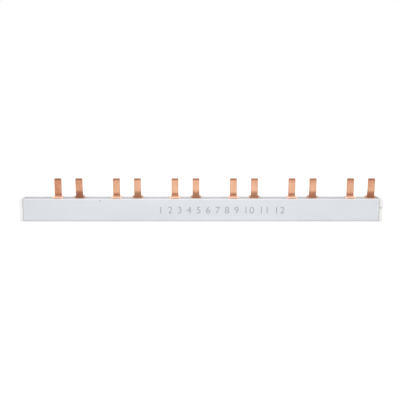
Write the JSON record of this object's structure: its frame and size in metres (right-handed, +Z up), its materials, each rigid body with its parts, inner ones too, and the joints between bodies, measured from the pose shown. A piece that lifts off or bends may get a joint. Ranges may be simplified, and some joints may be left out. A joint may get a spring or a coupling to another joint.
{
  "type": "comb busbar",
  "caption": "Straight comb busbar: copper combs side by side in a grey insulating rail with end caps, their flat pins standing in pairs in one row above the open slot.",
  "frame": {"origin": "centre of the rail's underside", "axes": "+X along the rail to the end with the last pin close to the cap, +Z up along the pins, -Y towards the front comb"},
  "size_m": [0.2204, 0.0096, 0.0259],
  "materials": {
    "rail_plastic": "satin extruded plastic, cool light grey",
    "front_copper": "bare rolled copper, satin, with fine lengthways draw lines",
    "back_copper": "bare rolled copper, satin, slightly darker in the bends",
    "cap_plastic": "smooth moulded plastic, warm off-white"
  },
  "bodies": {
    "root": {"insulating_rail": "rail_plastic", "front_comb": "front_copper", "back_comb": "back_copper", "left_end_cap": "cap_plastic", "right_end_cap": "cap_plastic"}
  },
  "joints": []
}
